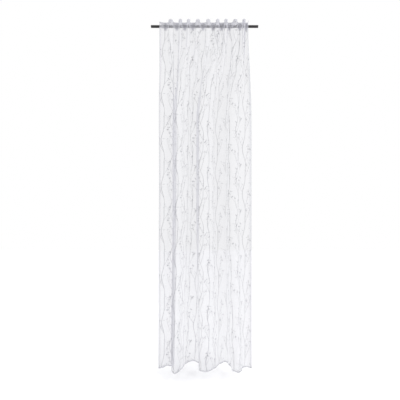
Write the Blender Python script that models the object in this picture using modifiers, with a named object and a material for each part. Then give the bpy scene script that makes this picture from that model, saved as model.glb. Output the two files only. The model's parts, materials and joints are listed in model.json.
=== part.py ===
# Sheer voile curtain, gathered on a thin rod by ten hidden tabs along its heading tape.
# Units are metres. X runs along the rod, the front faces -Y and +Z is up.
# The origin is the middle of the rod, on its axis.
import math
from collections import namedtuple

import bmesh
import bpy
import numpy as np

# The rod
ROD_LENGTH = 0.770
ROD_DIAMETER = 0.019
ROD_EDGE = 0.0012

# The cloth, cut 1.40 m wide and finished 2.45 m long
FLAT_WIDTH = 1.400
TOP = 0.0225
BOTTOM = -2.4325
CLOTH_THICKNESS = 0.0015
TAPE_THICKNESS = 0.0010
TAPE_BOTTOM = -0.0210
TAPE_INSET = 0.0030
SIDE_HEM = 0.0140
CLEAR_OF_ROD = 0.0020
GAP = 0.0003

# The tabs, sewn at one pitch along the flat cloth and slid unevenly along the rod
TAB_WIDTH = 0.016
TAB_MARGIN = 0.043
TAB_AT = (-0.2795, -0.1987, -0.1422, -0.0849, -0.0112, 0.0617, 0.1218, 0.1776, 0.2540, 0.2990)
TAB_TOP_SEAM = (0.0205, 0.0150)
TAB_BOTTOM_SEAM = (-0.0215, -0.0340)
TAB_WRAP = (math.radians(80), math.radians(-60))

# Distances in front of the rod's axis
TAPE_OUT = ROD_DIAMETER / 2 + CLEAR_OF_ROD + TAPE_THICKNESS / 2
CLOTH_OUT = TAPE_OUT + TAPE_THICKNESS / 2 + GAP + CLOTH_THICKNESS / 2
FOLDS_OUT = 0.045

# Heights between which the gathers of the heading turn into the three deep folds
GATHERS_END = -0.040
WAIST_TOP = -0.700
WAIST_END = -1.350

ROUNDS = 18             # columns of faces between two tabs
END_COLUMNS = 4         # columns of faces outside the first and the last tab
ROWS = (TOP, TAPE_BOTTOM, GATHERS_END, -0.11, -0.19, -0.27, -0.36, -0.47, -0.60, -0.78,
        -1.04, -1.35, -1.64, -1.92, -2.18, BOTTOM)

# A section of the hanging cloth, seen from above: a row for each crest, trough, flank or turn,
# from the left edge to the right, x along the rod and out in front of the rod's axis.
Fold = namedtuple("Fold", "part x out")
HEADING_ENDS = (Fold("left edge", -0.322, 0.025), Fold("right edge", 0.308, 0.044))
WAIST = (
    Fold("left edge", -0.322, 0.046),
    Fold("left panel", -0.293, 0.058),
    Fold("left panel", -0.258, 0.049),
    Fold("left panel", -0.231, 0.028),
    Fold("pleat, neck", -0.218, 0.006),
    Fold("pleat, left side", -0.226, -0.022),
    Fold("pleat, back", -0.223, -0.044),
    Fold("pleat, back", -0.210, -0.043),
    Fold("pleat, right side", -0.205, -0.020),
    Fold("pleat, neck", -0.210, 0.016),
    Fold("first fold, left side", -0.222, 0.058),
    Fold("first fold, left turn", -0.218, 0.092),
    Fold("first fold, crest", -0.198, 0.107),
    Fold("first fold, right side", -0.171, 0.090),
    Fold("first fold, step", -0.151, 0.054),
    Fold("first fold, step", -0.131, 0.036),
    Fold("first trough, left side", -0.110, -0.016),
    Fold("first trough", -0.088, -0.050),
    Fold("first trough, right turn", -0.064, -0.048),
    Fold("second fold, tucked side", -0.043, -0.016),
    Fold("second fold, left side", -0.045, 0.016),
    Fold("second fold, left side", -0.055, 0.050),
    Fold("second fold, left turn", -0.053, 0.082),
    Fold("second fold, crest", -0.034, 0.106),
    Fold("second fold, crest", -0.005, 0.106),
    Fold("second fold, right side", 0.026, 0.082),
    Fold("second fold, step", 0.052, 0.052),
    Fold("second trough, left side", 0.071, 0.006),
    Fold("second trough, left side", 0.098, -0.036),
    Fold("second trough", 0.129, -0.052),
    Fold("second trough, right turn", 0.151, -0.032),
    Fold("third fold, left side", 0.159, 0.012),
    Fold("third fold, left side", 0.158, 0.052),
    Fold("third fold, left turn", 0.166, 0.088),
    Fold("third fold, crest", 0.187, 0.107),
    Fold("third fold, crest", 0.218, 0.102),
    Fold("third fold, right side", 0.249, 0.076),
    Fold("right panel", 0.276, 0.056),
    Fold("right panel", 0.305, 0.044),
    Fold("right edge", 0.330, 0.050),
)
HEM = (
    Fold("left edge", -0.325, 0.052),
    Fold("left panel", -0.296, 0.039),
    Fold("left panel", -0.266, 0.012),
    Fold("left panel", -0.240, 0.019),
    Fold("pleat, neck", -0.230, 0.002),
    Fold("pleat, left side", -0.242, -0.032),
    Fold("pleat, back", -0.245, -0.062),
    Fold("pleat, back", -0.234, -0.074),
    Fold("pleat, right side", -0.223, -0.060),
    Fold("pleat, right side", -0.220, -0.026),
    Fold("pleat, neck", -0.222, 0.016),
    Fold("first fold, left side", -0.231, 0.065),
    Fold("first fold, left turn", -0.227, 0.106),
    Fold("first fold, crest", -0.209, 0.136),
    Fold("first fold, right side", -0.183, 0.116),
    Fold("first fold, right side", -0.161, 0.062),
    Fold("first trough, left side", -0.144, 0.004),
    Fold("first trough", -0.121, -0.044),
    Fold("first trough", -0.088, -0.066),
    Fold("first trough, right turn", -0.055, -0.048),
    Fold("second fold, left side", -0.037, -0.012),
    Fold("second fold, left side", -0.038, 0.036),
    Fold("second fold, left side", -0.040, 0.078),
    Fold("second fold, left turn", -0.024, 0.102),
    Fold("second fold, crest", 0.002, 0.106),
    Fold("second fold, right side", 0.028, 0.098),
    Fold("second fold, right side", 0.055, 0.074),
    Fold("second trough, left side", 0.081, 0.034),
    Fold("second trough, left side", 0.112, -0.016),
    Fold("second trough", 0.147, -0.054),
    Fold("second trough, right side", 0.172, -0.012),
    Fold("third fold, left side", 0.187, 0.034),
    Fold("third fold, left side", 0.189, 0.076),
    Fold("third fold, left turn", 0.207, 0.104),
    Fold("third fold, crest", 0.231, 0.120),
    Fold("third fold, right side", 0.257, 0.090),
    Fold("third fold, right side", 0.272, 0.042),
    Fold("right panel", 0.301, 0.031),
    Fold("right edge", 0.330, 0.052),
)


def clear_scene():
    for item in list(bpy.data.objects):
        bpy.data.objects.remove(item, do_unlink=True)


def new_material(name, color, roughness, metallic=0.0):
    material = bpy.data.materials.new(name)
    material.use_nodes = True
    shader = material.node_tree.nodes["Principled BSDF"]
    shader.inputs["Base Color"].default_value = (*color, 1.0)
    shader.inputs["Roughness"].default_value = roughness
    shader.inputs["Metallic"].default_value = metallic
    return material


def new_object(name, mesh, material, collection):
    mesh.materials.append(material)
    item = bpy.data.objects.new(name, mesh)
    collection.objects.link(item)
    return item


def add_thickness(item, thickness):
    solid = item.modifiers.new("Thickness", "SOLIDIFY")
    solid.thickness = thickness
    solid.offset = 0.0
    return solid


def smooth_step(share):
    share = min(max(share, 0.0), 1.0)
    return share * share * (3 - 2 * share)


# A smooth line through the rows of a section: a centripetal Catmull-Rom curve, which stays free of
# loops of its own between rows that lie close together.
def smooth_line(folds, steps=16):
    rows = np.array([(fold.x, fold.out) for fold in folds])
    rows = np.vstack([2 * rows[0] - rows[1], rows, 2 * rows[-1] - rows[-2]])
    line = []
    for before, start, end, after in zip(rows, rows[1:], rows[2:], rows[3:]):
        k0 = 0.0
        k1 = k0 + math.dist(before, start) ** 0.5
        k2 = k1 + math.dist(start, end) ** 0.5
        k3 = k2 + math.dist(end, after) ** 0.5
        for k in np.linspace(k1, k2, steps, endpoint=False):
            a1 = before + (start - before) * (k - k0) / (k1 - k0)
            a2 = start + (end - start) * (k - k1) / (k2 - k1)
            a3 = end + (after - end) * (k - k2) / (k3 - k2)
            b1 = a1 + (a2 - a1) * (k - k0) / (k2 - k0)
            b2 = a2 + (a3 - a2) * (k - k1) / (k3 - k1)
            line.append(b1 + (b2 - b1) * (k - k1) / (k2 - k1))
    line.append(rows[-2])
    return np.array(line)


def steps_along(line):
    return np.hypot(*np.diff(line, axis=0).T)


# The same line again, with its points an even millimetre of cloth apart.
def even_line(line, count=1401):
    along = np.concatenate([[0.0], np.cumsum(steps_along(line))])
    wanted = np.linspace(0.0, along[-1], count)
    return np.column_stack([np.interp(wanted, along, line[:, axis]) for axis in (0, 1)])


# Folds made deeper or shallower until the section takes up the whole width of the cloth.
def take_up(line, width=FLAT_WIDTH):
    low, high = 0.3, 4.0
    for _ in range(40):
        depth = (low + high) / 2
        trial = np.column_stack([line[:, 0], FOLDS_OUT + (line[:, 1] - FOLDS_OUT) * depth])
        if steps_along(trial).sum() < width:
            low = depth
        else:
            high = depth
    return even_line(trial)


# Cloth pushed together between two tabs bows forward. Its direction swings to and fro like a
# sine, by just as much as brings its two ends the span apart.
def bow(span, cloth, count=60):
    phase = 2 * math.pi * (np.arange(count) + 0.5) / count
    low, high = 0.0, 2.4
    for _ in range(40):
        swing = (low + high) / 2
        if np.mean(np.cos(swing * np.sin(phase))) > span / cloth:
            low = swing
        else:
            high = swing
    direction = swing * np.sin(phase)
    return np.column_stack([np.cumsum(np.cos(direction)), np.cumsum(np.sin(direction))]) * cloth / count


# The section at the heading: flat against the rod at each tab and bowed out between them.
def heading_section():
    pitch = (FLAT_WIDTH - 2 * TAB_MARGIN) / (len(TAB_AT) - 1)
    half = TAB_WIDTH / 2
    line = [HEADING_ENDS[0][1:]]
    for x, following in zip(TAB_AT, TAB_AT[1:]):
        line += [(x - half, CLOTH_OUT), (x + half, CLOTH_OUT)]
        bowed = bow(following - x - TAB_WIDTH, pitch - TAB_WIDTH)[:-1]
        line += [(x + half + along, CLOTH_OUT + out) for along, out in bowed]
    line += [(TAB_AT[-1] - half, CLOTH_OUT), (TAB_AT[-1] + half, CLOTH_OUT), HEADING_ENDS[1][1:]]
    return even_line(np.array(line))


# Rounds off a section, over a distance given in points of the line.
def rounded(line, reach):
    if reach < 0.5:
        return line
    side = int(3 * reach)
    weights = np.exp(-0.5 * (np.arange(-side, side + 1) / reach) ** 2)
    before = 2 * line[0] - line[side:0:-1]
    after = 2 * line[-1] - line[-2:-side - 2:-1]
    padded = np.vstack([before, line, after])
    return np.column_stack([np.convolve(padded[:, axis], weights / weights.sum(), "valid")
                            for axis in (0, 1)])


# The section of the cloth at one height, as x and distance in front of the rod's axis.
def section_at(height, heading, waist, hem):
    if height >= GATHERS_END:
        return heading
    gathered = 1 - smooth_step((GATHERS_END - height) / (GATHERS_END - WAIST_TOP))
    lower = min(max((WAIST_END - height) / (WAIST_END - BOTTOM), 0.0), 1.0)
    body = waist + (hem - waist) * lower
    mixed = body + (heading - body) * gathered
    return take_up(rounded(mixed, 56 * gathered * (1 - gathered)))


# Where the columns of faces stand on the flat cloth, as shares of its width: at each tab's two
# edges, and evenly between.
def column_shares():
    pitch = (FLAT_WIDTH - 2 * TAB_MARGIN) / (len(TAB_AT) - 1)
    half = TAB_WIDTH / 2
    first = TAB_MARGIN - half
    places = list(np.linspace(0.0, first, END_COLUMNS))
    for number in range(len(TAB_AT) - 1):
        edge = TAB_MARGIN + half + number * pitch
        places += list(np.linspace(edge, edge + pitch - TAB_WIDTH, ROUNDS // 2 + 1))
    places += [FLAT_WIDTH - place for place in places[END_COLUMNS - 1::-1]]
    return np.array(places) / FLAT_WIDTH


def points_on(line, shares):
    places = np.linspace(0.0, 1.0, len(line))
    return np.column_stack([np.interp(shares, places, line[:, axis]) for axis in (0, 1)])


# Moves a section towards the rod by a distance, square to itself.
def set_back(points, distance):
    ahead = np.gradient(points, axis=0)
    ahead /= np.hypot(ahead[:, 0], ahead[:, 1])[:, None]
    square = np.column_stack([ahead[:, 1], -ahead[:, 0]])
    return points + square * distance


# A sheet lofted through sections at their heights, as a grid of faces that look forward.
def lofted_sheet(name, sections, heights):
    shell = bmesh.new()
    grid = [[shell.verts.new((x, -out, height)) for x, out in section]
            for section, height in zip(sections, heights)]
    for upper, lower in zip(grid, grid[1:]):
        for left in range(len(upper) - 1):
            shell.faces.new((upper[left], lower[left], lower[left + 1], upper[left + 1]))
    mesh = bpy.data.meshes.new(name)
    shell.to_mesh(mesh)
    shell.free()
    mesh.shade_smooth()
    return mesh


def make_rod(collection):
    bpy.ops.mesh.primitive_cylinder_add(
        vertices=32, radius=ROD_DIAMETER / 2, depth=ROD_LENGTH, rotation=(0, math.pi / 2, 0))
    rod = bpy.context.object
    bpy.ops.object.transform_apply(location=False, rotation=True, scale=False)
    for owner in list(rod.users_collection):
        owner.objects.unlink(rod)
    collection.objects.link(rod)
    rod.name = "rod"
    rod.data.materials.append(new_material("dark_painted_metal", (0.022, 0.020, 0.021), 0.45, 0.6))
    edge = rod.modifiers.new("Edge", "BEVEL")
    edge.width = ROD_EDGE
    edge.segments = 2
    edge.limit_method = "ANGLE"
    rod.data.shade_smooth()
    rod.data.set_sharp_from_angle(angle=math.radians(40))
    return rod


def make_curtain(collection):
    sections = heading_section(), take_up(smooth_line(WAIST)), take_up(smooth_line(HEM))
    shares = column_shares()
    folded = [points_on(section_at(height, *sections), shares) for height in ROWS]
    curtain = new_object("curtain_panel", lofted_sheet("curtain_panel", folded, ROWS),
                         new_material("sheer_voile", (0.86, 0.86, 0.89), 0.8), collection)
    add_thickness(curtain, CLOTH_THICKNESS)
    return curtain


def make_heading_tape(collection):
    shares = column_shares()
    inside = (shares > SIDE_HEM / FLAT_WIDTH) & (shares < 1 - SIDE_HEM / FLAT_WIDTH)
    line = set_back(points_on(heading_section(), shares), CLOTH_OUT - TAPE_OUT)[inside]
    heights = (TOP - TAPE_INSET, TAPE_BOTTOM)
    tape = new_object("heading_tape", lofted_sheet("heading_tape", [line, line], heights),
                      new_material("heading_tape", (0.84, 0.84, 0.86), 0.85), collection)
    add_thickness(tape, TAPE_THICKNESS)
    return tape


# Half of a tab's side view: the middle of the strip, as distance out and height, from its upper
# seam over the back of the rod to its lower seam.
def tab_line():
    seam_out = TAPE_OUT - TAPE_THICKNESS - GAP
    radius = ROD_DIAMETER / 2 + CLEAR_OF_ROD + TAPE_THICKNESS / 2
    start, end = TAB_WRAP
    around = [start + (end - start) * step / 10 for step in range(11)]
    wrap = [(-radius * math.cos(angle), radius * math.sin(angle)) for angle in around]
    upper = [(seam_out, TAB_TOP_SEAM[0]), (seam_out, TAB_TOP_SEAM[1])]
    lower = [(seam_out, TAB_BOTTOM_SEAM[0]), (seam_out, TAB_BOTTOM_SEAM[1])]
    return upper + wrap + lower


def make_tabs(collection):
    shell = bmesh.new()
    sides = [[shell.verts.new((side * TAB_WIDTH / 2, -out, height)) for out, height in tab_line()]
             for side in (-1, 1)]
    for number in range(len(sides[0]) - 1):
        shell.faces.new((sides[0][number], sides[0][number + 1], sides[1][number + 1], sides[1][number]))
    mesh = bpy.data.meshes.new("back_tab")
    shell.to_mesh(mesh)
    shell.free()
    mesh.materials.append(new_material("tab_strip", (0.84, 0.84, 0.86), 0.85))
    for number, x in enumerate(TAB_AT, start=1):
        tab = bpy.data.objects.new(f"back_tab_{number:02d}", mesh)
        tab.location.x = x
        collection.objects.link(tab)
        add_thickness(tab, TAPE_THICKNESS)


def main():
    clear_scene()
    collection = bpy.data.collections.new("sheer_voile_curtain")
    bpy.context.scene.collection.children.link(collection)
    make_rod(collection)
    make_curtain(collection)
    make_heading_tape(collection)
    make_tabs(collection)


main()
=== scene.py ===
import json
import math
import random

import bpy
import numpy as np
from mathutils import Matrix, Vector

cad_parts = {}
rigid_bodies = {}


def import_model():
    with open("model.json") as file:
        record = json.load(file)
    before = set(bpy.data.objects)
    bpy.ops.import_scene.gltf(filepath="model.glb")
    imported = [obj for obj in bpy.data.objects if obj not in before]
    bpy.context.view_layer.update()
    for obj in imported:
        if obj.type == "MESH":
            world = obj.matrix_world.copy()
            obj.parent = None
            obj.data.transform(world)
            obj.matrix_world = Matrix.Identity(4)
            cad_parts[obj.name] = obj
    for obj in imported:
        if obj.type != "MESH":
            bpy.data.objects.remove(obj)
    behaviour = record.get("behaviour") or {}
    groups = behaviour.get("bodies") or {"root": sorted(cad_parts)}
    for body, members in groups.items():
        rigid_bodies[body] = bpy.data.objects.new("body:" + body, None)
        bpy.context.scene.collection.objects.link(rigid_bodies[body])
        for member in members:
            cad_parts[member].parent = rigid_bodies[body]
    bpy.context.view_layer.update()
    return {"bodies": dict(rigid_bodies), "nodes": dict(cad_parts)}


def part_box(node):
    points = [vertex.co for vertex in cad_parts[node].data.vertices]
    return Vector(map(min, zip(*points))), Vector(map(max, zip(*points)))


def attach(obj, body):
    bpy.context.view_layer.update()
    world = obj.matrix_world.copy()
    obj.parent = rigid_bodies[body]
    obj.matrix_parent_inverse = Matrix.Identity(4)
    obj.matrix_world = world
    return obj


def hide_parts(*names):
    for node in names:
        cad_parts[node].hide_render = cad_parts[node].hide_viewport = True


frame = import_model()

# sheer voile curtain with a twig print, gathered on a thin rod by hidden tabs
# metres, +Z up, the front faces -Y; the origin is the middle of the rod
bodyName = next(iter(frame["bodies"]))
clothLow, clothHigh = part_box("curtain_panel")
rodLow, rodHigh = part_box("rod")
tapeLow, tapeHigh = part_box("heading_tape")
tabNodes = sorted(name for name in frame["nodes"] if name.startswith("back_tab"))
print("frame loaded:", len(frame["nodes"]), "nodes,", len(tabNodes), "of them tabs")


# how the cloth hangs
cloth = {
    "flatWidth": 1.400,
    "top": clothHigh[2],
    "bottom": clothLow[2],
    "foldsOut": 0.045,          # how far the middle of the folds stands in front of the rod
    "headingOut": 0.01355,      # the same for the cloth where it lies against the tape and rod
    "gathersEnd": -0.040,       # the ten small gathers start to open here
    "waistTop": -0.700,         # and have become three deep folds here
    "waistEnd": -1.350,
    "columnStep": 0.0046,
    "upperRowStep": 0.009,
    "upperRowsEnd": -0.30,
    "rowStep": 0.0125,
}
tabs = {
    "width": 0.016,
    "margin": 0.043,            # from the cut edge of the cloth to the first tab
    "at": [(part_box(name)[0][0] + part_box(name)[1][0]) / 2 for name in tabNodes],
}

# sections seen from above, left edge to right: x along the rod, distance in front of its axis
headingEnds = (-0.322, 0.025), (0.308, 0.044)
waistFolds = (
    (-0.322, 0.046), (-0.293, 0.058), (-0.258, 0.049), (-0.231, 0.028),      # left panel
    (-0.218, 0.006), (-0.226, -0.022), (-0.223, -0.044), (-0.210, -0.043),   # hidden pleat
    (-0.205, -0.020), (-0.210, 0.016),
    (-0.222, 0.058), (-0.218, 0.092), (-0.198, 0.107), (-0.171, 0.090),      # first fold
    (-0.151, 0.054), (-0.131, 0.036), (-0.110, -0.016),
    (-0.088, -0.050), (-0.064, -0.048),                                      # first trough
    (-0.043, -0.016), (-0.045, 0.016), (-0.055, 0.050), (-0.053, 0.082),     # second fold
    (-0.034, 0.106), (-0.005, 0.106), (0.026, 0.082), (0.052, 0.052),
    (0.071, 0.006), (0.098, -0.036), (0.129, -0.052), (0.151, -0.032),       # second trough
    (0.159, 0.012), (0.158, 0.052), (0.166, 0.088), (0.187, 0.107),          # third fold
    (0.218, 0.102), (0.249, 0.076),
    (0.276, 0.056), (0.305, 0.044), (0.330, 0.050),                          # right panel
)
hemFolds = (
    (-0.325, 0.052), (-0.296, 0.039), (-0.266, 0.012), (-0.240, 0.019),
    (-0.230, 0.002), (-0.242, -0.032), (-0.245, -0.062), (-0.234, -0.074),
    (-0.223, -0.060), (-0.220, -0.026), (-0.222, 0.016),
    (-0.231, 0.065), (-0.227, 0.106), (-0.209, 0.136), (-0.183, 0.116),
    (-0.161, 0.062), (-0.144, 0.004),
    (-0.121, -0.044), (-0.088, -0.066), (-0.055, -0.048),
    (-0.037, -0.012), (-0.038, 0.036), (-0.040, 0.078), (-0.024, 0.102),
    (0.002, 0.106), (0.028, 0.098), (0.055, 0.074),
    (0.081, 0.034), (0.112, -0.016), (0.147, -0.054), (0.172, -0.012),
    (0.187, 0.034), (0.189, 0.076), (0.207, 0.104), (0.231, 0.120),
    (0.257, 0.090), (0.272, 0.042),
    (0.301, 0.031), (0.330, 0.052),
)


def smoothStep(share):
    share = np.clip(share, 0.0, 1.0)
    return share * share * (3 - 2 * share)


def smoothLine(folds, steps=16):    # centripetal Catmull-Rom through the rows
    rows = np.array(folds)
    rows = np.vstack([2 * rows[0] - rows[1], rows, 2 * rows[-1] - rows[-2]])
    line = []
    for before, start, end, after in zip(rows, rows[1:], rows[2:], rows[3:]):
        k0 = 0.0
        k1 = k0 + math.dist(before, start) ** 0.5
        k2 = k1 + math.dist(start, end) ** 0.5
        k3 = k2 + math.dist(end, after) ** 0.5
        for k in np.linspace(k1, k2, steps, endpoint=False):
            a1 = before + (start - before) * (k - k0) / (k1 - k0)
            a2 = start + (end - start) * (k - k1) / (k2 - k1)
            a3 = end + (after - end) * (k - k2) / (k3 - k2)
            b1 = a1 + (a2 - a1) * (k - k0) / (k2 - k0)
            b2 = a2 + (a3 - a2) * (k - k1) / (k3 - k1)
            line.append(b1 + (b2 - b1) * (k - k1) / (k2 - k1))
    line.append(rows[-2])
    return np.array(line)


def stepsAlong(line):
    return np.hypot(*np.diff(line, axis=0).T)


def evenLine(line, count=1401):
    along = np.concatenate([[0.0], np.cumsum(stepsAlong(line))])
    wanted = np.linspace(0.0, along[-1], count)
    return np.column_stack([np.interp(wanted, along, line[:, axis]) for axis in (0, 1)])


def takeUp(line):                   # folds as deep as it takes to use the whole width of cloth
    low, high = 0.3, 4.0
    for _ in range(40):
        depth = (low + high) / 2
        out = cloth["foldsOut"] + (line[:, 1] - cloth["foldsOut"]) * depth
        trial = np.column_stack([line[:, 0], out])
        if stepsAlong(trial).sum() < cloth["flatWidth"]:
            low = depth
        else:
            high = depth
    return evenLine(trial)


def bow(span, length, count=60):    # cloth pushed together between two tabs bows forward
    phase = 2 * math.pi * (np.arange(count) + 0.5) / count
    low, high = 0.0, 2.4
    for _ in range(40):
        swing = (low + high) / 2
        if np.mean(np.cos(swing * np.sin(phase))) > span / length:
            low = swing
        else:
            high = swing
    turn = swing * np.sin(phase)
    return np.column_stack([np.cumsum(np.cos(turn)), np.cumsum(np.sin(turn))]) * length / count


def headingLine():
    pitch = (cloth["flatWidth"] - 2 * tabs["margin"]) / (len(tabs["at"]) - 1)
    half, out = tabs["width"] / 2, cloth["headingOut"]
    line = [headingEnds[0]]
    for x, following in zip(tabs["at"], tabs["at"][1:]):
        line += [(x - half, out), (x + half, out)]
        bowed = bow(following - x - tabs["width"], pitch - tabs["width"])[:-1]
        line += [(x + half + along, out + forward) for along, forward in bowed]
    line += [(tabs["at"][-1] - half, out), (tabs["at"][-1] + half, out), headingEnds[1]]
    return evenLine(np.array(line))


def rounded(line, reach):
    if reach < 0.5:
        return line
    side = int(3 * reach)
    weights = np.exp(-0.5 * (np.arange(-side, side + 1) / reach) ** 2)
    padded = np.vstack([2 * line[0] - line[side:0:-1], line, 2 * line[-1] - line[-2:-side - 2:-1]])
    return np.column_stack([np.convolve(padded[:, axis], weights / weights.sum(), "valid")
                            for axis in (0, 1)])


sectionKeys = headingLine(), takeUp(smoothLine(waistFolds)), takeUp(smoothLine(hemFolds))


def sectionAt(height):
    heading, waist, hem = sectionKeys
    if height >= cloth["gathersEnd"]:
        return heading
    opened = (cloth["gathersEnd"] - height) / (cloth["gathersEnd"] - cloth["waistTop"])
    gathered = 1 - smoothStep(opened)
    lower = np.clip((cloth["waistEnd"] - height) / (cloth["waistEnd"] - cloth["bottom"]), 0, 1)
    body = waist + (hem - waist) * lower
    return takeUp(rounded(body + (heading - body) * gathered, 56 * gathered * (1 - gathered)))


# small wrinkles on top of the folds: (across the cloth, from height, to height, depth, half width)
creases = (
    (0.395, -1.00, -2.43, 0.0030, 0.010),
    (0.475, -0.50, -1.25, -0.0030, 0.012),
    (0.470, -1.60, -2.40, 0.0030, 0.011),
    (0.905, -0.45, -1.50, -0.0028, 0.014),
    (1.010, -1.40, -2.20, 0.0026, 0.010),
    (1.250, -1.55, -2.43, 0.0034, 0.011),
    (0.060, -0.15, -0.80, 0.0022, 0.012),
)
ripples = {"seed": 5, "count": 9, "lengths": (0.035, 0.110), "size": 0.0009}


def rippleSet():
    draw = random.Random(ripples["seed"])
    shortest, longest = ripples["lengths"]
    return [(draw.uniform(shortest, longest), draw.uniform(0, 6.28), draw.uniform(0.5, 1.4),
             draw.uniform(0.7, 1.8), draw.uniform(0, 6.28)) for _ in range(ripples["count"])]


rippleList = rippleSet()


def wrinkles(across, height):       # how far the cloth stands off its main folds, forward
    off = np.zeros_like(across)
    free = smoothStep((-0.045 - height) / 0.25)
    for length, phase, sway, wave, start in rippleList:
        bend = sway * math.sin(wave * height * 2 * math.pi / 2.4 + start)
        off += ripples["size"] * np.sin(2 * math.pi * across / length + phase + bend)
    for place, fromHeight, toHeight, depth, halfWidth in creases:
        middle, reach = (fromHeight + toHeight) / 2, (fromHeight - toHeight) / 2
        fade = smoothStep(1.4 * (1 - abs(height - middle) / reach))
        wander = place + 0.006 * math.sin(3.1 * height + 40 * place)
        off += depth * fade * np.exp(-((across - wander) / halfWidth) ** 2)
    return off * free


def squareTo(line):
    ahead = np.gradient(line, axis=0)
    ahead /= np.hypot(ahead[:, 0], ahead[:, 1])[:, None]
    return np.column_stack([-ahead[:, 1], ahead[:, 0]])


def hungRow(height, across, lift):  # points of the cloth at one height, each lifted forward
    line = sectionAt(height)
    square = squareTo(line)
    places = np.linspace(0, cloth["flatWidth"], len(line))
    off = wrinkles(places, height)
    moved = line + square * off[:, None]
    x, out = (np.interp(across, places, moved[:, axis]) for axis in (0, 1))
    nx, nOut = (np.interp(across, places, square[:, axis]) for axis in (0, 1))
    return np.column_stack([x + nx * lift, -(out + nOut * lift), np.full_like(x, height)])


def gridMesh(name, grid, uv):       # grid is rows x columns x 3, uv is rows x columns x 2
    rows, columns = grid.shape[:2]
    index = np.arange(rows * columns).reshape(rows, columns)
    faces = np.stack([index[:-1, :-1], index[1:, :-1], index[1:, 1:], index[:-1, 1:]], axis=-1)
    mesh = bpy.data.meshes.new(name)
    mesh.from_pydata(grid.reshape(-1, 3).tolist(), [], faces.reshape(-1, 4).tolist())
    layer = mesh.uv_layers.new(name="clothPlace")
    corner = np.empty(len(mesh.loops), dtype=np.int32)
    mesh.loops.foreach_get("vertex_index", corner)
    layer.data.foreach_set("uv", uv.reshape(-1, 2)[corner].astype(np.float32).ravel())
    mesh.shade_smooth()
    return mesh


def gridPlaces(grid, across, down):  # flat places of a grid: across by column, down by row
    shape = grid.shape[:2]
    return np.dstack([np.broadcast_to(across, shape), np.broadcast_to(down[:, None], shape)])


def addPiece(name, mesh, material):
    mesh.materials.append(material)
    piece = bpy.data.objects.new(name, mesh)
    bpy.context.scene.collection.objects.link(piece)
    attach(piece, bodyName)
    return piece


# shader node groups
def newGroup(name, inputs, outputs):
    group = bpy.data.node_groups.new(name, "ShaderNodeTree")
    for label, kind, value in inputs:
        socket = group.interface.new_socket(name=label, in_out="INPUT", socket_type=kind)
        if value is not None:
            socket.default_value = value
    for label, kind in outputs:
        group.interface.new_socket(name=label, in_out="OUTPUT", socket_type=kind)
    return group, group.nodes.new("NodeGroupInput"), group.nodes.new("NodeGroupOutput")


def addMath(tree, operation, first, second=None, third=None):
    node = tree.nodes.new("ShaderNodeMath")
    node.operation = operation
    for socket, value in zip(node.inputs, (first, second, third)):
        if value is None:
            continue
        if hasattr(value, "is_output"):
            tree.links.new(value, socket)
        else:
            socket.default_value = value
    return node.outputs[0]


def addNoise(tree, vector, scale, detail, stretch=(1, 1, 1)):
    mapping = tree.nodes.new("ShaderNodeMapping")
    mapping.inputs["Scale"].default_value = stretch
    tree.links.new(vector, mapping.inputs["Vector"])
    noise = tree.nodes.new("ShaderNodeTexNoise")
    noise.inputs["Scale"].default_value = scale
    noise.inputs["Detail"].default_value = detail
    tree.links.new(mapping.outputs[0], noise.inputs["Vector"])
    return noise.outputs["Fac"]


def makeWeaveGroup():               # plain weave: place is in metres across and down the cloth
    group, given, made = newGroup(
        "plainWeave",
        [("Place", "NodeSocketVector", None), ("Threads", "NodeSocketFloat", 1400.0),
         ("Slub", "NodeSocketFloat", 0.5)],
        [("Thread", "NodeSocketFloat"), ("Slub Mask", "NodeSocketFloat"), ("Cloud", "NodeSocketFloat")])
    split = group.nodes.new("ShaderNodeSeparateXYZ")
    group.links.new(given.outputs["Place"], split.inputs[0])
    turns = addMath(group, "MULTIPLY", given.outputs["Threads"], 2 * math.pi)
    warp = addMath(group, "SINE", addMath(group, "MULTIPLY", split.outputs[0], turns))
    weft = addMath(group, "SINE", addMath(group, "MULTIPLY", split.outputs[1], turns))
    crossing = addMath(group, "MULTIPLY", warp, weft)
    thread = addMath(group, "MULTIPLY_ADD", crossing, 0.5, 0.5)
    warpSlub = addNoise(group, given.outputs["Place"], 60.0, 2.0, (9.0, 0.5, 1.0))
    weftSlub = addNoise(group, given.outputs["Place"], 60.0, 2.0, (0.5, 9.0, 1.0))
    thick = addMath(group, "MAXIMUM", warpSlub, weftSlub)
    lumps = addMath(group, "MULTIPLY", addMath(group, "SUBTRACT", thick, 0.5), given.outputs["Slub"])
    cloud = addNoise(group, given.outputs["Place"], 7.0, 3.0)
    group.links.new(thread, made.inputs["Thread"])
    group.links.new(lumps, made.inputs["Slub Mask"])
    group.links.new(cloud, made.inputs["Cloud"])
    return group


weaveGroup = makeWeaveGroup()


def newMaterial(name):
    material = bpy.data.materials.new(name)
    material.use_nodes = True
    tree = material.node_tree
    return material, tree, tree.nodes["Principled BSDF"]


def placeWeave(tree, threads, slub):
    place = tree.nodes.new("ShaderNodeUVMap")
    place.uv_map = "clothPlace"
    weave = tree.nodes.new("ShaderNodeGroup")
    weave.node_tree = weaveGroup
    weave.inputs["Threads"].default_value = threads
    weave.inputs["Slub"].default_value = slub
    tree.links.new(place.outputs[0], weave.inputs["Place"])
    return weave


def mixColors(tree, factor, first, second):
    mix = tree.nodes.new("ShaderNodeMix")
    mix.data_type = "RGBA"
    mix.inputs["A"].default_value = (*first, 1.0)
    mix.inputs["B"].default_value = (*second, 1.0)
    tree.links.new(factor, mix.inputs["Factor"])
    return mix.outputs["Result"]


def addBump(tree, height, strength, distance):
    bump = tree.nodes.new("ShaderNodeBump")
    bump.inputs["Strength"].default_value = strength
    bump.inputs["Distance"].default_value = distance
    tree.links.new(height, bump.inputs["Height"])
    return bump.outputs[0]


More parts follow.
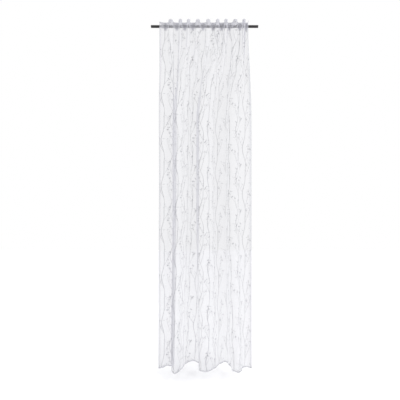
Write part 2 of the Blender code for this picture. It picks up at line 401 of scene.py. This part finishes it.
def makeClothMaterial(name, looks):
    material, tree, shader = newMaterial(name)
    weave = placeWeave(tree, looks["threads"], looks["slub"])
    color = mixColors(tree, weave.outputs["Cloud"], looks["dark"], looks["light"])
    tree.links.new(color, shader.inputs["Base Color"])
    uneven = addMath(tree, "ADD", weave.outputs["Slub Mask"],
                     addMath(tree, "MULTIPLY_ADD", weave.outputs["Thread"], 0.2, -0.1))
    opacity = addMath(tree, "MULTIPLY_ADD", uneven, looks["unevenOpacity"], looks["opacity"])
    tree.links.new(opacity, shader.inputs["Alpha"])
    roughness = addMath(tree, "MULTIPLY_ADD", uneven, 0.2, looks["roughness"])
    tree.links.new(roughness, shader.inputs["Roughness"])
    relief = addMath(tree, "ADD", weave.outputs["Thread"], weave.outputs["Slub Mask"])
    normal = addBump(tree, relief, looks["bump"], 0.0003)
    tree.links.new(normal, shader.inputs["Normal"])
    shader.inputs["Sheen Weight"].default_value = looks["sheen"]
    shader.inputs["Specular IOR Level"].default_value = 0.2
    glow = tree.nodes.new("ShaderNodeBsdfTranslucent")      # light that comes through the threads
    glow.inputs["Color"].default_value = (*looks["glow"], 1.0)
    mix = tree.nodes.new("ShaderNodeMixShader")
    mix.inputs[0].default_value = looks["through"]
    tree.links.new(shader.outputs[0], mix.inputs[1])
    tree.links.new(glow.outputs[0], mix.inputs[2])
    tree.links.new(mix.outputs[0], tree.nodes["Material Output"].inputs["Surface"])
    return material


voileLooks = {
    "threads": 1250.0, "slub": 1.0, "dark": (0.86, 0.86, 0.90), "light": (0.96, 0.96, 0.99),
    "opacity": 0.24, "unevenOpacity": 0.30, "roughness": 0.72, "bump": 0.25, "sheen": 0.25,
    "through": 0.19, "glow": (0.91, 0.91, 0.945),
}
tapeLooks = {
    "threads": 700.0, "slub": 0.6, "dark": (0.80, 0.80, 0.83), "light": (0.92, 0.92, 0.95),
    "opacity": 0.58, "unevenOpacity": 0.25, "roughness": 0.82, "bump": 0.5, "sheen": 0.2,
    "through": 0.40, "glow": (0.86, 0.86, 0.89),
}
inkLooks = {
    "threads": 1250.0, "slub": 1.0, "dark": (0.34, 0.34, 0.36), "light": (0.46, 0.46, 0.48),
    "opacity": 0.42, "unevenOpacity": 0.30, "roughness": 0.85, "bump": 0.2, "sheen": 0.0,
    "through": 0.22, "glow": (0.40, 0.40, 0.42),
}
voileMaterial = makeClothMaterial("sheerVoile", voileLooks)
tapeMaterial = makeClothMaterial("headingTapeCloth", tapeLooks)
inkMaterial = makeClothMaterial("greyTwigInk", inkLooks)
print("cloth materials made")


# the panel, with its hems turned back
hems = {"side": 0.0135, "foot": 0.0100, "head": 0.0120, "layer": 0.0005}


def panelColumns():                 # (place across, distance set back), left hem to right hem
    width, side, layer = cloth["flatWidth"], hems["side"], hems["layer"]
    front = np.linspace(0.0, width, round(width / cloth["columnStep"]) + 1)
    turned = [(side, layer), (side * 0.66, layer), (side * 0.33, layer), (0.0006, layer * 0.8)]
    left = turned
    right = [(width - place, back) for place, back in reversed(turned)]
    return left + [(place, 0.0) for place in front] + right


def panelRows():                    # (height, distance set back), from the head hem to the foot
    top, bottom, layer = cloth["top"], cloth["bottom"], hems["layer"]
    head = [(top - hems["head"], layer), (top - hems["head"] / 2, layer), (top - 0.0004, layer * 0.8)]
    upper = list(np.arange(top, cloth["upperRowsEnd"], -cloth["upperRowStep"]))
    lowerCount = round((upper[-1] - bottom) / cloth["rowStep"])
    lower = list(np.linspace(upper[-1], bottom, lowerCount + 1))[1:]
    foot = hems["foot"]
    hem = [(bottom + 0.0004, layer * 0.8), (bottom + foot / 2, layer), (bottom + foot, layer),
           (bottom + foot - 0.0004, layer * 1.8), (bottom + foot / 2, layer * 2),
           (bottom + 0.0012, layer * 2)]
    return head + [(height, 0.0) for height in upper + lower] + hem


def makePanel():
    columns, rows = np.array(panelColumns()), panelRows()
    grid = np.array([hungRow(height, columns[:, 0], -columns[:, 1] - back) for height, back in rows])
    down = np.array([cloth["top"] - height for height, back in rows])
    uv = gridPlaces(grid, columns[:, 0], down)
    return addPiece("curtainCloth", gridMesh("curtainCloth", grid, uv), voileMaterial)


panel = makePanel()
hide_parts("curtain_panel")
print("panel made:", len(panel.data.vertices), "vertices")


# places on the cloth, for what is printed or sewn on it
placeColumns = np.array([place for place, back in panelColumns() if back == 0.0])
placeRows = np.array([height for height, back in panelRows() if back == 0.0])
placeGrid = np.array([hungRow(height, placeColumns, 0.0) for height in placeRows])
squareGrid = np.array([hungRow(height, placeColumns, 1.0) for height in placeRows]) - placeGrid


def onCloth(across, height, lift):
    lastColumn, lastRow = len(placeColumns) - 1.001, len(placeRows) - 1.001
    column = np.clip(np.interp(across, placeColumns, np.arange(len(placeColumns))), 0, lastColumn)
    row = np.clip(np.interp(-height, -placeRows, np.arange(len(placeRows))), 0, lastRow)
    c, r = column.astype(int), row.astype(int)
    cShare, rShare = (column - c)[:, None], (row - r)[:, None]

    def mixed(grid):
        upper = grid[r, c] * (1 - cShare) + grid[r, c + 1] * cShare
        lower = grid[r + 1, c] * (1 - cShare) + grid[r + 1, c + 1] * cShare
        return upper * (1 - rShare) + lower * rShare

    return mixed(placeGrid) + mixed(squareGrid) * lift


# the twig print
twigPrint = {
    "repeat": (0.350, 0.320),       # across and down
    "lift": 0.0005,
    "step": 0.008,
    "seed": 21,
    "stemWidth": 0.0034,
    "twigWidth": 0.0023,
    "leaf": (0.0100, 0.0044),       # length and width
    "bud": (0.009, 0.004),
    "budLean": (0.5, 0.9),          # radians from straight up
    "budsToStem": 3,
    "twigRise": (0.060, 0.125),
    "twigReach": (0.020, 0.042),
    "sideTwigAt": (0.35, 0.58, 0.80),
    "sideTwigRise": (0.018, 0.040),
    "sideTwigReach": (0.008, 0.020),
    # place in the repeat, sway, phase in turns, share of the full width
    "stems": (
        (0.034, 0.010, 0.10, 1.00), (0.102, 0.014, 0.55, 0.75), (0.158, 0.009, 0.30, 1.10),
        (0.226, 0.013, 0.80, 0.85), (0.292, 0.011, 0.42, 1.00),
    ),
}


def stemPlace(stem, down):
    place, sway, phase, share = stem
    turn = 2 * math.pi * (down / twigPrint["repeat"][1] + phase)
    return place + sway * math.sin(turn) + 0.35 * sway * math.sin(2 * turn + 1.3)


class FlatShapes:                   # strips and leaves drawn flat on the cloth
    def __init__(self):
        self.points, self.faces = [], []

    def addStrip(self, line, widths):
        line = np.array(line)
        ahead = np.gradient(line, axis=0)
        ahead /= np.hypot(ahead[:, 0], ahead[:, 1])[:, None]
        side = np.column_stack([-ahead[:, 1], ahead[:, 0]]) * np.array(widths)[:, None] / 2
        first = len(self.points)
        self.points += list(np.hstack([line - side, line + side]).reshape(-1, 2))
        self.faces += [(first + 2 * n, first + 2 * n + 1, first + 2 * n + 3, first + 2 * n + 2)
                       for n in range(len(line) - 1)]

    def addLeaf(self, root, angle, length, width):
        shape = ((0.0, 0.0), (0.25, 0.36), (0.55, 0.50), (0.85, 0.26), (1.0, 0.0),
                 (0.85, -0.26), (0.55, -0.50), (0.25, -0.36))
        first, (cosine, sine) = len(self.points), (math.cos(angle), math.sin(angle))
        for along, across in shape:
            a, b = along * length, across * width
            self.points.append((root[0] + a * cosine - b * sine, root[1] + a * sine + b * cosine))
        self.faces.append(tuple(range(first, first + len(shape))))


def addLeafCluster(shapes, draw, root, angle, count):
    length, width = twigPrint["leaf"]
    for number in range(count):
        spread = (number / max(count - 1, 1) - 0.5) * 2.6 + draw.uniform(-0.2, 0.2)
        size = draw.uniform(0.75, 1.15)
        start = (root[0] + draw.uniform(-0.003, 0.003), root[1] - draw.uniform(0.0, 0.010))
        shapes.addLeaf(start, angle + spread, length * size, width * size)


def addTwig(shapes, draw, root, side, rise, reach, width, level):
    count = max(4, round(rise / twigPrint["step"]))
    shares = np.linspace(0, 1, count + 1)
    # down the cloth is positive, so a twig that grows upwards goes to smaller values
    line = [(root[0] + side * reach * (1 - (1 - t) ** 1.7), root[1] - rise * t) for t in shares]
    shapes.addStrip(line, [width * (1 - 0.6 * t) for t in shares])
    tip, before = line[-1], line[-2]
    angle = math.atan2(tip[1] - before[1], tip[0] - before[0])
    if level == 0:
        for share in twigPrint["sideTwigAt"]:
            start = line[round(share * count)]
            addTwig(shapes, draw, start, draw.choice((-1, 1)), draw.uniform(*twigPrint["sideTwigRise"]),
                    draw.uniform(*twigPrint["sideTwigReach"]), width * 0.7, 1)
        addLeafCluster(shapes, draw, tip, angle, 3)
    else:
        addLeafCluster(shapes, draw, tip, angle, draw.choice((1, 2, 4, 5)))


def repeatShapes():
    shapes, draw = FlatShapes(), random.Random(twigPrint["seed"])
    high = twigPrint["repeat"][1]
    steps = round(high / twigPrint["step"])
    for stem in twigPrint["stems"]:
        downs = np.linspace(0, high, steps + 1)
        width = twigPrint["stemWidth"] * stem[3]
        shapes.addStrip([(stemPlace(stem, down), down) for down in downs],
                        [width * (0.85 + 0.3 * math.sin(2 * math.pi * down / high + 9 * stem[0]) ** 2)
                         for down in downs])
        forks = draw.choice((2, 3))
        offset = draw.uniform(0, high)
        for number in range(forks):
            down = (offset + high * number / forks + draw.uniform(-0.02, 0.02)) % high
            side = (-1, 1)[(number + int(stem[0] * 100)) % 2]
            addTwig(shapes, draw, (stemPlace(stem, down), down), side,
                    draw.uniform(*twigPrint["twigRise"]), draw.uniform(*twigPrint["twigReach"]),
                    twigPrint["twigWidth"], 0)
        for _ in range(twigPrint["budsToStem"]):
            down = draw.uniform(0, high)
            side = draw.choice((-1, 1))
            lean = side * draw.uniform(*twigPrint["budLean"])
            shapes.addLeaf((stemPlace(stem, down), down), -math.pi / 2 + lean, *twigPrint["bud"])
    return shapes


def makePrint():
    shapes = repeatShapes()
    base, (wide, high) = np.array(shapes.points), twigPrint["repeat"]
    drop = cloth["top"] - cloth["bottom"]
    nearEdge, farEdge = (0.001, 0.002), (cloth["flatWidth"] - 0.001, drop - 0.002)
    places, faces = [], []
    for across in range(-1, math.ceil(cloth["flatWidth"] / wide) + 1):
        for down in range(-1, math.ceil(drop / high) + 2):
            offset = np.array([across * wide, down * high - (across % 2) * 0.5 * high])
            first = sum(len(block) for block in places)
            moved = base + offset
            inside = ((moved > nearEdge) & (moved < farEdge)).all(axis=1)
            if not inside.any():
                continue
            faces += [tuple(first + corner for corner in face) for face in shapes.faces
                      if all(inside[corner] for corner in face)]
            places.append(moved)
    places = np.vstack(places)
    used = np.unique([corner for face in faces for corner in face])
    fresh = {old: new for new, old in enumerate(used)}
    places = places[used]
    faces = [tuple(fresh[corner] for corner in face) for face in faces]
    spots = onCloth(places[:, 0], cloth["top"] - places[:, 1], twigPrint["lift"])
    mesh = bpy.data.meshes.new("twigPrint")
    mesh.from_pydata(spots.tolist(), [], faces)
    layer = mesh.uv_layers.new(name="clothPlace")
    corner = np.empty(len(mesh.loops), dtype=np.int32)
    mesh.loops.foreach_get("vertex_index", corner)
    layer.data.foreach_set("uv", places[corner].astype(np.float32).ravel())
    mesh.shade_smooth()
    return addPiece("twigPrint", mesh, inkMaterial)


printed = makePrint()
print("twig print made:", len(printed.data.polygons), "shapes")


# heading tape
tape = {"setBack": 0.00155, "inset": 0.014, "top": tapeHigh[2], "bottom": tapeLow[2]}


def makeTape():
    across = np.linspace(tape["inset"], cloth["flatWidth"] - tape["inset"], 420)
    heights = np.linspace(tape["top"], tape["bottom"], 9)
    setBack = np.full_like(across, -tape["setBack"])
    grid = np.array([hungRow(height, across, setBack) for height in heights])
    uv = gridPlaces(grid, across, cloth["top"] - heights)
    return addPiece("headingTape", gridMesh("headingTape", grid, uv), tapeMaterial)


headingTape = makeTape()
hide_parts("heading_tape")


# tabs behind the tape
tabStrip = {
    "clear": 0.0020, "thickness": 0.0008, "flatOut": 0.0107,
    "topSeam": (0.0205, 0.0150), "bottomSeam": (-0.0215, -0.0340),
    "wrap": (math.radians(80), math.radians(-60)),
}
rodRadius = (rodHigh[2] - rodLow[2]) / 2


def between(start, end):
    start, end = np.array(start), np.array(end)
    return [tuple(start + (end - start) * t) for t in (0.25, 0.5, 0.75)]


def tabLine():                      # side view of the strip: distance out and height
    radius = rodRadius + tabStrip["clear"] + tabStrip["thickness"] / 2
    start, end = tabStrip["wrap"]
    out = tabStrip["flatOut"]
    upper = [(out, height) for height in np.linspace(*tabStrip["topSeam"], 4)]
    angles = np.linspace(start, end, 28)
    around = [(-radius * math.cos(angle), radius * math.sin(angle)) for angle in angles]
    lead = between(upper[-1], around[0])
    lower = [(out, height) for height in np.linspace(*tabStrip["bottomSeam"], 5)]
    trail = between(around[-1], lower[0])
    return np.array(upper + lead + around + trail + lower)


def makeTab(number, x):
    line = rounded(tabLine(), 0.8)
    along = np.concatenate([[0.0], np.cumsum(stepsAlong(line))])
    sides = np.linspace(-tabs["width"] / 2, tabs["width"] / 2, 7)
    bulge = 0.0006 * np.cos(np.pi * sides / tabs["width"])
    square = squareTo(line)
    grid = np.array([[(x + side, -(out - lift * s[0]), height - lift * s[1])
                      for side, lift in zip(sides, bulge)]
                     for (out, height), s in zip(line, square)])
    grid[:4, :, 1], grid[-5:, :, 1] = -tabStrip["flatOut"], -tabStrip["flatOut"]
    uv = gridPlaces(grid, sides, along)
    tab = addPiece(f"backTab{number:02d}", gridMesh("backTab", grid, uv), tapeMaterial)
    solid = tab.modifiers.new("Thickness", "SOLIDIFY")
    solid.thickness = tabStrip["thickness"]
    solid.offset = 0.0
    return tab, along[-1]


for number, (node, x) in enumerate(zip(tabNodes, tabs["at"]), start=1):
    tab, tabLength = makeTab(number, x)
    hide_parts(node)


# rod
rodLooks = {
    "paint": (0.020, 0.018, 0.019), "worn": (0.060, 0.056, 0.056), "roughness": 0.42, "metallic": 0.35,
}


def makeRodMaterial():
    material, tree, shader = newMaterial("darkRodPaint")
    place = tree.nodes.new("ShaderNodeTexCoord").outputs["Object"]
    specks = addNoise(tree, place, 900.0, 2.0)
    streaks = addNoise(tree, place, 40.0, 3.0, (0.3, 6.0, 6.0))
    color = mixColors(tree, addMath(tree, "MULTIPLY", streaks, 0.6), rodLooks["paint"], rodLooks["worn"])
    tree.links.new(color, shader.inputs["Base Color"])
    tree.links.new(addMath(tree, "MULTIPLY_ADD", streaks, 0.2, rodLooks["roughness"] - 0.1),
                   shader.inputs["Roughness"])
    tree.links.new(addBump(tree, specks, 0.15, 0.0002), shader.inputs["Normal"])
    shader.inputs["Metallic"].default_value = rodLooks["metallic"]
    return material


def makeRod():
    half, turns = (rodHigh[0] - rodLow[0]) / 2, 64
    r = rodRadius
    # distance along and radius: a tube with a slightly sunk end plug
    end = [(half - 0.0006, 0.0), (half - 0.0006, r * 0.80), (half - 0.0012, r * 0.83),
           (half - 0.0001, r * 0.86), (half, r * 0.91), (half - 0.0004, r * 0.97), (half - 0.0012, r)]
    body = [(x, r) for x in np.linspace(half - 0.03, -half + 0.03, 9)]
    profile = end + body + [(-along, radius) for along, radius in reversed(end)]
    points, faces = [], []
    for along, radius in profile:
        for step in range(turns):
            angle = 2 * math.pi * step / turns
            points.append((along, radius * math.cos(angle), radius * math.sin(angle)))
    for ring in range(len(profile) - 1):
        for step in range(turns):
            after = (step + 1) % turns
            a, b = ring * turns + step, ring * turns + after
            faces.append((a, b, b + turns, a + turns))
    mesh = bpy.data.meshes.new("curtainRod")
    mesh.from_pydata(points, [], faces)
    mesh.validate()
    mesh.shade_smooth()
    mesh.set_sharp_from_angle(angle=math.radians(50))
    return addPiece("curtainRod", mesh, makeRodMaterial())


rod = makeRod()
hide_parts("rod")
print("rod made")


# stitches
stitch = {"length": 0.0030, "gap": 0.0012, "width": 0.0005, "height": 0.00035}


def makeThreadMaterial():
    material, tree, shader = newMaterial("sewingThread")
    twist = addNoise(tree, tree.nodes.new("ShaderNodeTexCoord").outputs["Object"], 1500.0, 1.0)
    color = mixColors(tree, twist, (0.74, 0.74, 0.78), (0.90, 0.90, 0.93))
    tree.links.new(color, shader.inputs["Base Color"])
    tree.links.new(addBump(tree, twist, 0.3, 0.0002), shader.inputs["Normal"])
    shader.inputs["Roughness"].default_value = 0.6
    return material


threadMaterial = makeThreadMaterial()


def seamRow(start, end):            # middles and direction of stitches along a line on the flat cloth
    start, end = np.array(start), np.array(end)
    length = math.dist(start, end)
    count = int(length / (stitch["length"] + stitch["gap"]))
    shares = (np.arange(count) + 0.5) / count
    return start + (end - start) * shares[:, None], (end - start) / length


def makeStitches(name, rows, lift):
    points, faces = [], []
    for start, end in rows:
        middles, way = seamRow(start, end)
        across = np.array([-way[1], way[0]])
        reach, half = stitch["length"] / 2, stitch["width"] / 2
        corners = [(-reach, 0, 0), (-reach * 0.6, half, 0), (reach * 0.6, half, 0), (reach, 0, 0),
                   (reach * 0.6, -half, 0), (-reach * 0.6, -half, 0),
                   (-reach * 0.5, 0, 1), (reach * 0.5, 0, 1)]
        for along, side, raised in corners:
            spots = middles + way * along + across * side
            points.append(onCloth(spots[:, 0], spots[:, 1], lift + raised * stitch["height"]))
        count, first = len(middles), sum(len(block) for block in points[:-8])
        for n in range(count):
            c = [first + k * count + n for k in range(8)]
            faces += [(c[0], c[6], c[1]), (c[1], c[6], c[7], c[2]), (c[2], c[7], c[3]),
                      (c[3], c[7], c[4]), (c[4], c[7], c[6], c[5]), (c[5], c[6], c[0])]
    mesh = bpy.data.meshes.new(name)
    mesh.from_pydata(np.vstack(points).tolist(), [], faces)
    mesh.shade_smooth()
    return addPiece(name, mesh, threadMaterial)


width, top, bottom = cloth["flatWidth"], cloth["top"], cloth["bottom"]
seams = {
    "fromSideEdge": 0.0120, "fromFoot": 0.0090, "fromHead": 0.0050, "fromTapeEdge": 0.0020, "lift": 0.0001,
}
sideEnds = top - 0.045, bottom + 0.014
footEnds = 0.002, width - 0.002
headEnds = 0.004, width - 0.004
sideRows = [[(place, height) for height in sideEnds]
            for place in (seams["fromSideEdge"], width - seams["fromSideEdge"])]
footRows = [[(place, bottom + seams["fromFoot"]) for place in footEnds]]
headRows = [[(place, height) for place in headEnds]
            for height in (top - seams["fromHead"], tape["bottom"] + seams["fromTapeEdge"])]
sideSeams = makeStitches("sideHemStitches", sideRows, seams["lift"])
footSeam = makeStitches("footHemStitches", footRows, seams["lift"])
headSeams = makeStitches("headingStitches", headRows, seams["lift"])
print("stitches made")


# floor, light and camera
studio = {
    "floor": cloth["bottom"] - 0.06,
    "floorReach": 6.0,
    "worldSeen": 1.0,               # brightness of the backdrop, and of the light it gives
    "worldLight": 0.62,
    "aim": (0.0, 0.0, -1.0),
    "keyPlace": (1.7, -1.6, -0.9), "keyPower": 16.0, "keySize": (0.9, 1.5),
    "fillPlace": (-1.9, -1.7, -0.9), "fillPower": 5.0, "fillSize": (1.0, 1.6),
    "sunPower": 1.6, "sunSpread": math.radians(80),
    "cameraPlace": (-0.0327, -2.45, -1.2471), "lens": 30.67, "sensorWidth": 36.0,
    "sheerLayers": 40,              # how many see-through layers a ray may pass
}


def makeFloor():
    mesh = bpy.data.meshes.new("studioFloor")
    reach, height = studio["floorReach"], studio["floor"]
    corners = [(x * reach, y * reach, height) for x, y in ((-1, -1), (1, -1), (1, 1), (-1, 1))]
    mesh.from_pydata(corners, [], [(0, 1, 2, 3)])
    material, tree, shader = newMaterial("paleFloor")
    tone = addNoise(tree, tree.nodes.new("ShaderNodeTexCoord").outputs["Object"], 2.0, 2.0)
    color = mixColors(tree, tone, (0.93, 0.93, 0.93), (0.97, 0.97, 0.97))
    tree.links.new(color, shader.inputs["Base Color"])
    shader.inputs["Roughness"].default_value = 0.9
    mesh.materials.append(material)
    floor = bpy.data.objects.new("studioFloor", mesh)
    floor.visible_diffuse = False
    floor.visible_transmission = False
    bpy.context.scene.collection.objects.link(floor)


def makeWorld():
    world = bpy.data.worlds.new("paleStudio")
    world.use_nodes = True
    tree = world.node_tree
    background = tree.nodes["Background"]
    seen = tree.nodes.new("ShaderNodeBackground")
    background.inputs["Strength"].default_value = studio["worldLight"]
    background.inputs["Color"].default_value = (0.97, 0.97, 1.0, 1.0)
    seen.inputs["Strength"].default_value = studio["worldSeen"]
    seen.inputs["Color"].default_value = (1.0, 1.0, 1.0, 1.0)
    rays, mix = tree.nodes.new("ShaderNodeLightPath"), tree.nodes.new("ShaderNodeMixShader")
    tree.links.new(rays.outputs["Is Camera Ray"], mix.inputs[0])
    tree.links.new(background.outputs[0], mix.inputs[1])
    tree.links.new(seen.outputs[0], mix.inputs[2])
    tree.links.new(mix.outputs[0], tree.nodes["World Output"].inputs["Surface"])
    bpy.context.scene.world = world


def addLight(name, kind, place, aim, power, size=None):
    lamp = bpy.data.lights.new(name, kind)
    lamp.energy = power
    if kind == "AREA":
        lamp.shape, lamp.size, lamp.size_y = "RECTANGLE", *size
    else:
        lamp.angle = size
    item = bpy.data.objects.new(name, lamp)
    item.location = place
    direction = Vector(aim) - Vector(place)
    item.rotation_euler = direction.to_track_quat("-Z", "Y").to_euler()
    bpy.context.scene.collection.objects.link(item)


makeFloor()
makeWorld()
addLight("keyBox", "AREA", studio["keyPlace"], studio["aim"], studio["keyPower"], studio["keySize"])
addLight("fillBox", "AREA", studio["fillPlace"], studio["aim"], studio["fillPower"], studio["fillSize"])
addLight("topSun", "SUN", (0.0, 0.0, 3.0), (0.0, 0.0, 0.0), studio["sunPower"], studio["sunSpread"])


def makeCamera():
    data = bpy.data.cameras.new("camera")
    data.lens, data.sensor_width = studio["lens"], studio["sensorWidth"]
    item = bpy.data.objects.new("camera", data)
    item.location = studio["cameraPlace"]
    item.rotation_euler = (math.pi / 2, 0, 0)
    bpy.context.scene.collection.objects.link(item)
    bpy.context.scene.camera = item


makeCamera()
bpy.context.scene.view_settings.view_transform = "Standard"
bpy.context.scene.cycles.transparent_max_bounces = studio["sheerLayers"]
print("studio made")
